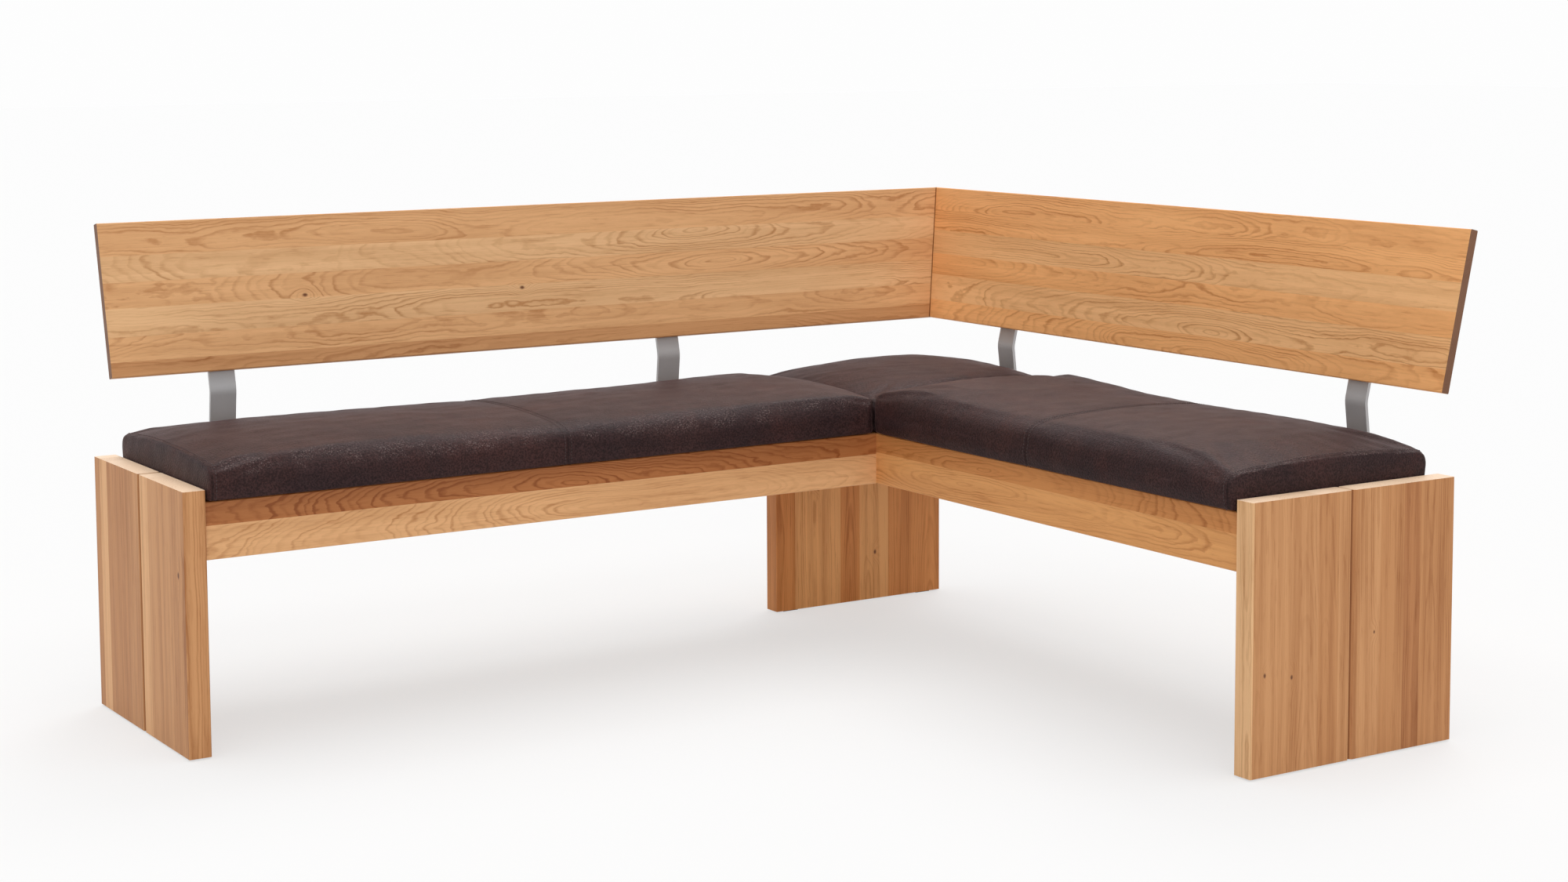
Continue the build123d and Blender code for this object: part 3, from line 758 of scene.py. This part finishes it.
def sew(pad, seams, seed):
    """Press the seams in, gather short puckers beside them and make the faces slightly uneven.

    Seams are triples of axis, place, and the pair of seam depth and pucker depth.
    """
    points = coordinates(pad.data)
    outward = normals(pad.data)
    above = np.clip((points[:, 2] - seat_level - SEWN_FROM) / SEWN_FADE, 0.0, 1.0)
    random = np.random.default_rng(seed)
    press = np.zeros(len(points))
    line = np.zeros(len(points))
    for frequency in UNEVEN_WAVES:
        ways = random.normal(size=(3, 3))
        ways /= np.linalg.norm(ways, axis=1, keepdims=True)
        phases = random.random(3) * 2 * math.pi
        press += UNEVEN_DEPTH * np.sin(points @ ways.T * frequency + phases).prod(axis=1)
    for axis, place, (seam_depth, pucker_depth) in seams:
        gap = np.abs(points[:, axis] - place)
        run = points[:, 1 - axis] + points[:, 2]
        phases = random.random(3) * 2 * math.pi
        waves = sum(
            strength * np.sin(run * frequency + phase)
            for strength, frequency, phase in zip(PUCKER_STRENGTHS, PUCKER_WAVES, phases)
        )
        upright = 1.0 - (1.0 - SEAM_ON_TOP) * np.clip(outward[:, 2], 0.0, 1.0)
        press += seam_depth * upright * np.exp(-((gap / SEAM_WIDTH) ** 2))
        press += pucker_depth * waves * np.exp(-gap / PUCKER_REACH)
        # Painted shade line along the seam, for the shadow in the sewn crease
        line = np.maximum(line, upright * np.exp(-((gap / SEAM_LINE) ** 2)))
    put(pad.data, points - outward * (press * above)[:, None])
    seam_shade = pad.data.attributes.new("seam_shade", "FLOAT", "POINT")
    seam_shade.data.foreach_set("value", line.astype(np.float32))


def make_pad(node, name, seams, full_end, seed):
    """Finished pad in place of a CAD one, with the raise at its last seam."""
    pad = remeshed(node, name)
    low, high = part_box(node)
    points = coordinates(pad.data)
    pinned = (points[:, 2] < seat_level + PIN_FOOT) | (end_distance(points, seams) < PIN_BAND)
    inflate(pad, pinned)
    last_axis, last_place, _ = seams[-1]
    fill_end(pad, last_axis, last_place, full_end)
    refined(pad)
    cut_at_seams(pad, seams)
    sew(pad, seams, seed)
    points = coordinates(pad.data)
    slack = np.array([0.0, 0.0, PAD_SLACK])
    put(pad.data, np.clip(points, np.array(low), np.array(high) + slack))
    smooth_shaded(pad.data)
    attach(pad, "root")
    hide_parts(node)
    return pad


long_pad_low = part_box("long_cushion")[0]
short_pad_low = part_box("short_cushion")[0]
corner_pad_low, corner_pad_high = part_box("corner_cushion")
long_left_seam = long_pad_low.x + GUSSET
long_right_seam = x_front - GUSSET
long_mid_seam = (long_left_seam + long_right_seam) / 2
short_near_seam = short_pad_low.y + GUSSET
short_far_seam = y_front - GUSSET
short_mid_seam = panel_inside + SHORT_SEAM_FROM_END

long_pad = make_pad("long_cushion", "long_pad", [
    (0, long_left_seam, END_SEAM), (0, long_mid_seam, MID_SEAM), (0, long_right_seam, END_SEAM),
], LONG_RIGHT_FULL, 51)
short_pad = make_pad("short_cushion", "short_pad", [
    (1, short_near_seam, END_SEAM), (1, short_mid_seam, MID_SEAM), (1, short_far_seam, END_SEAM),
], SHORT_FAR_FULL, 54)
make_pad("corner_cushion", "corner_pad", [
    (0, corner_pad_low.x + GUSSET, END_SEAM), (0, corner_pad_high.x - GUSSET, END_SEAM),
], CORNER_RIGHT_FULL, 57)


# Stitches along the seams, laid on the finished pads

STITCH_PROFILE = [(-0.5, 0.35, -0.0004), (-0.3, 1.0, 0.0), (0.3, 1.0, 0.0), (0.5, 0.35, -0.0004)]
STITCH_SIDES = 6
SEAM_SLICE = 0.01
RAY_HEIGHT = 0.03
RAY_OVERTURN = 0.12
RAY_COUNT = 900


def resampled(values, travelled, wanted):
    parts = [np.interp(wanted, travelled, values[:, part]) for part in range(3)]
    return np.stack(parts, axis=1)


def seam_path(pad, axis, place, spacing):
    """Points and normals around a pad in a seam plane, from the front over the top."""
    points = coordinates(pad.data)
    faces = [tuple(polygon.vertices) for polygon in pad.data.polygons]
    tree = BVHTree.FromPolygons([Vector(p) for p in points], faces)
    other = 1 - axis
    inside = points[np.abs(points[:, axis] - place) < SEAM_SLICE]
    centre = Vector((0, 0, seat_level + RAY_HEIGHT))
    centre[axis] = place
    centre[other] = float((inside[:, other].min() + inside[:, other].max()) / 2)
    path, facing = [], []
    for angle in np.linspace(-RAY_OVERTURN, math.pi + RAY_OVERTURN, RAY_COUNT):
        way = Vector((0, 0, math.sin(angle)))
        way[other] = -math.cos(angle)
        hit, normal, _, _ = tree.ray_cast(centre, way)
        if hit is not None and hit.z > seat_level + SEWN_FROM:
            path.append(np.array(hit))
            facing.append(np.array(normal))
    path, facing = np.array(path), np.array(facing)
    steps = np.linalg.norm(np.diff(path, axis=0), axis=1)
    travelled = np.concatenate([[0.0], np.cumsum(steps)])
    wanted = np.arange(0.0, travelled[-1], spacing)
    return resampled(path, travelled, wanted), resampled(facing, travelled, wanted)


def stitch_row(pad, axis, place):
    """Vertices and faces of a row of short rounded stitches."""
    path, facing = seam_path(pad, axis, place, STITCH_PITCH)
    vertices, faces = [], []
    for here, ahead, normal in zip(path, path[1:], facing):
        way = (ahead - here) / np.linalg.norm(ahead - here)
        across = np.cross(normal, way)
        base = len(vertices)
        for along, swell, sink in STITCH_PROFILE:
            ring_centre = here + way * along * STITCH_LENGTH + normal * (STITCH_LIFT + sink)
            for turn in range(STITCH_SIDES):
                angle = turn * 2 * math.pi / STITCH_SIDES
                offset = across * math.cos(angle) + normal * math.sin(angle)
                vertices.append(ring_centre + offset * STITCH_RADIUS * swell)
        rings = [base + ring * STITCH_SIDES for ring in range(len(STITCH_PROFILE))]
        for low, high in zip(rings, rings[1:]):
            for turn in range(STITCH_SIDES):
                after = (turn + 1) % STITCH_SIDES
                faces.append((low + turn, low + after, high + after, high + turn))
        faces.append(tuple(reversed(range(rings[0], rings[1]))))
        faces.append(tuple(range(rings[-1], rings[-1] + STITCH_SIDES)))
    return vertices, faces


def stitches(name, pad, rows):
    """One object with all stitch rows of a pad."""
    vertices, faces = [], []
    for axis, place in rows:
        row_vertices, row_faces = stitch_row(pad, axis, place)
        faces += [tuple(index + len(vertices) for index in face) for face in row_faces]
        vertices += row_vertices
    mesh = bpy.data.meshes.new(name)
    mesh.from_pydata([tuple(v) for v in vertices], [], faces)
    made = new_object(name, mesh, thread_finish)
    smooth_shaded(mesh)
    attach(made, "root")


stitches("long_pad_stitches", long_pad, [
    (0, long_mid_seam - STITCH_OFFSET), (0, long_mid_seam + STITCH_OFFSET),
    (0, long_left_seam + STITCH_OFFSET),
])
stitches("short_pad_stitches", short_pad, [
    (1, short_mid_seam - STITCH_OFFSET), (1, short_mid_seam + STITCH_OFFSET),
    (1, short_near_seam + STITCH_OFFSET),
])


# Screw heads with a hexagon socket, in place of the plain CAD pins

HEAD_POINTS = 24
HEAD_RINGS = [(1.0, 0.0, False), (1.0, 0.35, False), (0.88, 0.72, False), (0.60, 0.95, False),
              (0.44, 1.0, True), (0.42, 0.45, True)]
HEAD_SHARE = 0.9


def screw_head(radius, height):
    """Domed head on the XY plane. Rings are shares of radius and height, and whether six-sided."""
    shape = bmesh.new()
    rings = []
    for share, level, six_sided in HEAD_RINGS:
        ring = []
        for index in range(HEAD_POINTS):
            angle = 2 * math.pi * index / HEAD_POINTS
            reach = radius * share
            if six_sided:
                reach *= math.cos(math.pi / 6) / math.cos(angle % (math.pi / 3) - math.pi / 6)
            point = (reach * math.cos(angle), reach * math.sin(angle), level * height)
            ring.append(shape.verts.new(point))
        rings.append(ring)
    for low, high in zip(rings, rings[1:]):
        for index in range(HEAD_POINTS):
            after = (index + 1) % HEAD_POINTS
            shape.faces.new((low[index], low[after], high[after], high[index]))
    shape.faces.new(rings[-1])
    shape.faces.new(reversed(rings[0]))
    return shape


def islands_of(node):
    """Point sets of the separate solids of a CAD group."""
    welded = bmesh.new()
    welded.from_mesh(nodes[node].data)
    bmesh.ops.remove_doubles(welded, verts=welded.verts, dist=WELD)
    seen, found = set(), []
    for vertex in welded.verts:
        if vertex in seen:
            continue
        seen.add(vertex)
        queue, members = [vertex], []
        while queue:
            here = queue.pop()
            members.append(np.array(here.co))
            ahead = [edge.other_vert(here) for edge in here.link_edges]
            fresh = [there for there in ahead if there not in seen]
            seen.update(fresh)
            queue += fresh
        found.append(np.array(members))
    welded.free()
    return found


def screw_heads(node, name):
    """Heads at the outer ends of a CAD group's pins."""
    heads = bmesh.new()
    for points in islands_of(node):
        middle = points.mean(axis=0)
        axis = np.linalg.svd(points - middle)[2][0]
        along = (points - middle) @ axis
        widths = np.linalg.norm(points - middle - np.outer(along, axis), axis=1)
        if along[np.argmax(widths)] < 0:
            axis, along = -axis, -along
        radius = widths.max()
        head_low = along[widths > HEAD_SHARE * radius].min()
        head = screw_head(radius, along.max() - head_low)
        turn = Vector(ALONG_Z).rotation_difference(Vector(axis)).to_matrix().to_4x4()
        head.transform(Matrix.Translation(Vector(middle + axis * head_low)) @ turn)
        part = bpy.data.meshes.new("head")
        head.to_mesh(part)
        head.free()
        heads.from_mesh(part)
    mesh = bpy.data.meshes.new(name)
    heads.to_mesh(mesh)
    heads.free()
    made = new_object(name, mesh, screw_steel)
    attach(made, "root")
    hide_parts(node)


for node in ("bracket_rail_screws", "bracket_backrest_screws", "mitre_plate_screws", "seat_screws"):
    screw_heads(node, node.replace("screws", "screw_heads"))


# Softened edges on the boards and bars

EDGE_WIDTH = 0.0008
EDGE_ANGLE = 35

for node, piece in nodes.items():
    if piece.hide_render:
        continue
    edge = piece.modifiers.new("edge", "BEVEL")
    edge.width = EDGE_WIDTH
    edge.segments = 2
    edge.limit_method = "ANGLE"
    edge.angle_limit = math.radians(EDGE_ANGLE)
    edge.harden_normals = False


# Studio


def seen_rays(tree):
    """One for rays of sight, reflection and transmission, which show the surrounding."""
    path = tree.nodes.new("ShaderNodeLightPath")
    either = tree.nodes.new("ShaderNodeMath")
    either.operation = "MAXIMUM"
    tree.links.new(path.outputs["Is Camera Ray"], either.inputs[0])
    tree.links.new(path.outputs["Is Glossy Ray"], either.inputs[1])
    any_ray = tree.nodes.new("ShaderNodeMath")
    any_ray.operation = "MAXIMUM"
    tree.links.new(either.outputs[0], any_ray.inputs[0])
    tree.links.new(path.outputs["Is Transmission Ray"], any_ray.inputs[1])
    return any_ray.outputs[0]


def floor_finish():
    """Pale floor: near white where it is seen, with a soft shadow, bright to other rays."""
    tree = Tree("floor")
    seen = seen_rays(tree)
    tree.shader.inputs["Emission Color"].default_value = grey(1.0)
    colour = tree.mix(seen, grey(FLOOR_BOUNCE), grey(FLOOR_SEEN))
    glow = tree.times(seen, FLOOR_GLOW)
    return tree.finish(base_color=colour, roughness=0.95, emission_strength=glow,
                       specular_ior_level=0.0)


def studio():
    """Floor and an even white surrounding."""
    mesh = bpy.data.meshes.new("floor")
    corners = [(-FLOOR_SIZE, -FLOOR_SIZE, 0), (FLOOR_SIZE, -FLOOR_SIZE, 0),
               (FLOOR_SIZE, FLOOR_SIZE, 0), (-FLOOR_SIZE, FLOOR_SIZE, 0)]
    mesh.from_pydata(corners, [], [(0, 1, 2, 3)])
    new_object("floor", mesh, floor_finish())
    world = bpy.data.worlds.new("studio")
    bpy.context.scene.world = world
    world.use_nodes = True
    tree = world.node_tree
    back = tree.nodes["Background"]
    level = tree.nodes.new("ShaderNodeMapRange")
    level.inputs["To Min"].default_value = AMBIENT_LEVEL
    level.inputs["To Max"].default_value = BACKDROP_LEVEL
    tree.links.new(seen_rays(tree), level.inputs["Value"])
    tree.links.new(level.outputs[0], back.inputs["Strength"])
    back.inputs["Color"].default_value = grey(1.0)


def soft_sun(name, strength, source, spread):
    """Wide, soft light from one direction."""
    lamp = bpy.data.lights.new(name, "SUN")
    lamp.energy = strength
    lamp.angle = math.radians(spread)
    made = bpy.data.objects.new(name, lamp)
    made.rotation_euler = (-Vector(source)).to_track_quat("-Z", "Y").to_euler()
    bpy.context.scene.collection.objects.link(made)


studio()
soft_sun("sky_sun", *SKY_SUN)
soft_sun("front_sun", *FRONT_SUN)
soft_sun("back_sun", *BACK_SUN)

camera_data = bpy.data.cameras.new("camera")
camera_data.lens = CAMERA_LENS
camera_data.sensor_width = SENSOR_WIDTH
camera_data.shift_x, camera_data.shift_y = CAMERA_SHIFT
camera_data.clip_end = CLIP_END
camera = bpy.data.objects.new("camera", camera_data)
yaw, pitch, roll = (math.radians(angle) for angle in (CAMERA_YAW, CAMERA_PITCH, CAMERA_ROLL))
level_ahead = Vector((math.sin(yaw), math.cos(yaw), 0))
level_right = Vector((math.cos(yaw), -math.sin(yaw), 0))
ahead = level_ahead * math.cos(pitch) - Vector(ALONG_Z) * math.sin(pitch)
upward = Vector(ALONG_Z) * math.cos(pitch) + level_ahead * math.sin(pitch)
right = level_right * math.cos(roll) - upward * math.sin(roll)
above = level_right * math.sin(roll) + upward * math.cos(roll)
turn = Matrix((right, above, -ahead)).transposed().to_4x4()
camera_place = Vector((x_left, y_front, 0)) + Vector(CAMERA_PLACE)
camera.matrix_world = Matrix.Translation(camera_place) @ turn
bpy.context.scene.collection.objects.link(camera)
bpy.context.scene.camera = camera
bpy.context.scene.view_settings.view_transform = "Standard"
